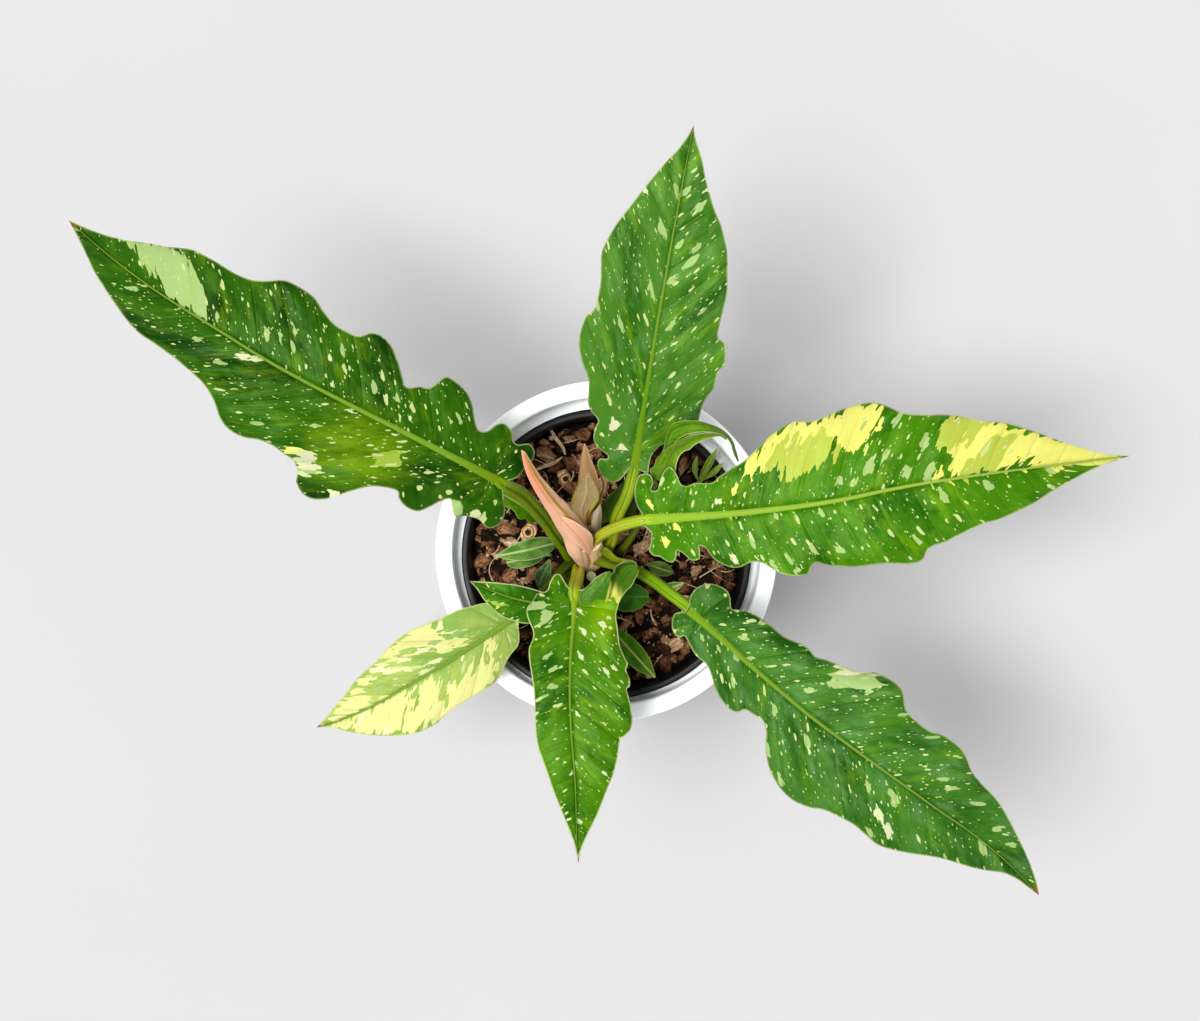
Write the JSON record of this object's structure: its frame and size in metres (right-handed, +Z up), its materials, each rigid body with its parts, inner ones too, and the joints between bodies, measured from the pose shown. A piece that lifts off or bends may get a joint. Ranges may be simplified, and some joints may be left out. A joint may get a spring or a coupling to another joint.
{
  "type": "potted philodendron",
  "caption": "Lobed, variegated philodendron growing in bark mix in a black nursery liner, inside a plain round white pot.",
  "frame": {"origin": "centre of the pot's flat base", "axes": "+Z up, out of the pot's mouth; +X towards the tip of the leaf that lies nearly level, the plant's longest way across"},
  "size_m": [0.5345, 0.3806, 0.2989],
  "materials": {
    "pot_glaze": "smooth white glaze, satin to glossy",
    "liner_plastic": "black moulded plastic, slightly dusty",
    "bark": "damp reddish-brown bark chips and dark crumbs",
    "crown_stem": "brownish green stem, matt",
    "leaf": "satin green leaf with cream and lime variegation",
    "stalk": "satin lime green stalk",
    "sheath": "satin pink sheath",
    "bud": "dry tan and grey-green bud sheath",
    "small_leaf": "small satin leaves"
  },
  "bodies": {
    "root": {"outer_pot": "pot_glaze", "liner_pot": "liner_plastic", "bark_mix": "bark", "crown": "crown_stem", "pink_sheath": "sheath", "rear_bud": "bud", "spoon_bud": "bud", "cut_stub": "bud", "withered_strand": "bud", "blade_west": "leaf", "blade_east": "leaf", "blade_north": "leaf", "blade_southeast": "leaf", "blade_south": "leaf", "blade_southwest": "leaf", "blade_inner": "leaf", "blade_curled": "leaf", "stalk_west": "stalk", "stalk_east": "stalk", "stalk_north": "stalk", "stalk_southeast": "stalk", "stalk_south": "stalk", "stalk_southwest": "stalk", "stalk_inner": "stalk", "stalk_curled": "stalk", "grey_leaf_front": "small_leaf", "grey_leaf_rear": "small_leaf", "lobed_leaf": "small_leaf", "round_leaf": "small_leaf", "pointed_leaf": "small_leaf", "flat_leaf": "small_leaf", "leaf_tip": "small_leaf", "striped_leaf": "small_leaf", "seedling": "small_leaf"}
  },
  "joints": []
}
